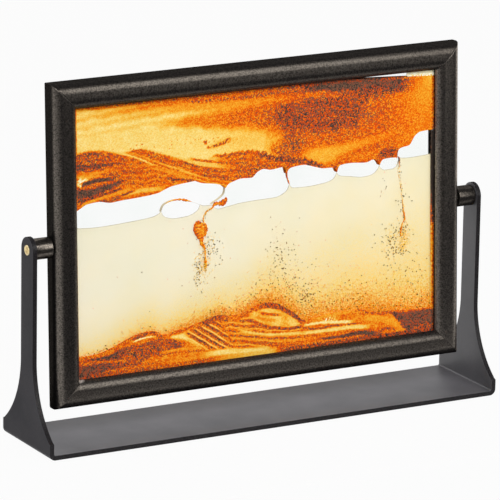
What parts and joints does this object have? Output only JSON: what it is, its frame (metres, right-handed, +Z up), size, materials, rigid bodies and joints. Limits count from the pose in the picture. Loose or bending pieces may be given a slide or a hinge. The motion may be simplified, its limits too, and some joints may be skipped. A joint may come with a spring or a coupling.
{
  "type": "moving sand picture on a stand",
  "caption": "Sealed glass picture of flowing coloured sand in a black mitred frame that turns over on pivots in a bent sheet stand.",
  "frame": {"origin": "on the surface it stands on, under the middle of the stand", "axes": "+X to the right along the pivot axis, +Y to the back, +Z up"},
  "size_m": [0.3146, 0.064, 0.2241],
  "materials": {
    "stand_paint": "satin black powder coat",
    "pad_rubber": "matte",
    "spacer_plastic": "satin black, faintly grained",
    "pin_brass": "polished",
    "moulding_plastic": "satin black, fine grain",
    "key_steel": "plain",
    "bush_nylon": "natural nylon",
    "pane_glass": "clear float glass",
    "seal_rubber": "matte",
    "packing_rubber": "matte foam",
    "liquid_clear": "clear, tinted cream",
    "sand_amber": "fine coloured sand, yellow to red",
    "sand_rust": "fine coloured sand, red and dark brown",
    "sand_dark": "fine coloured sand, dark"
  },
  "bodies": {
    "stand": {"stand_bracket": "stand_paint", "foot_pads": "pad_rubber", "left_spacer": "spacer_plastic", "right_spacer": "spacer_plastic", "left_pivot_pin": "pin_brass", "right_pivot_pin": "pin_brass"},
    "picture": {"top_rail": "moulding_plastic", "bottom_rail": "moulding_plastic", "left_stile": "moulding_plastic", "right_stile": "moulding_plastic", "corner_keys": "key_steel", "left_bush": "bush_nylon", "right_bush": "bush_nylon", "front_pane": "pane_glass", "rear_pane": "pane_glass", "edge_seal": "seal_rubber", "filler_plug": "seal_rubber", "packing_strips": "packing_rubber", "liquid": "liquid_clear", "upper_sand": "sand_amber", "sand_bed": "sand_rust", "falling_sand": "sand_dark"}
  },
  "joints": [
    {"name": "frame_turn", "type": "hinge", "parent": "stand", "child": "picture", "pos_m": [0, 0, 0.1241], "axis": [1, 0, 0], "continuous": true}
  ]
}
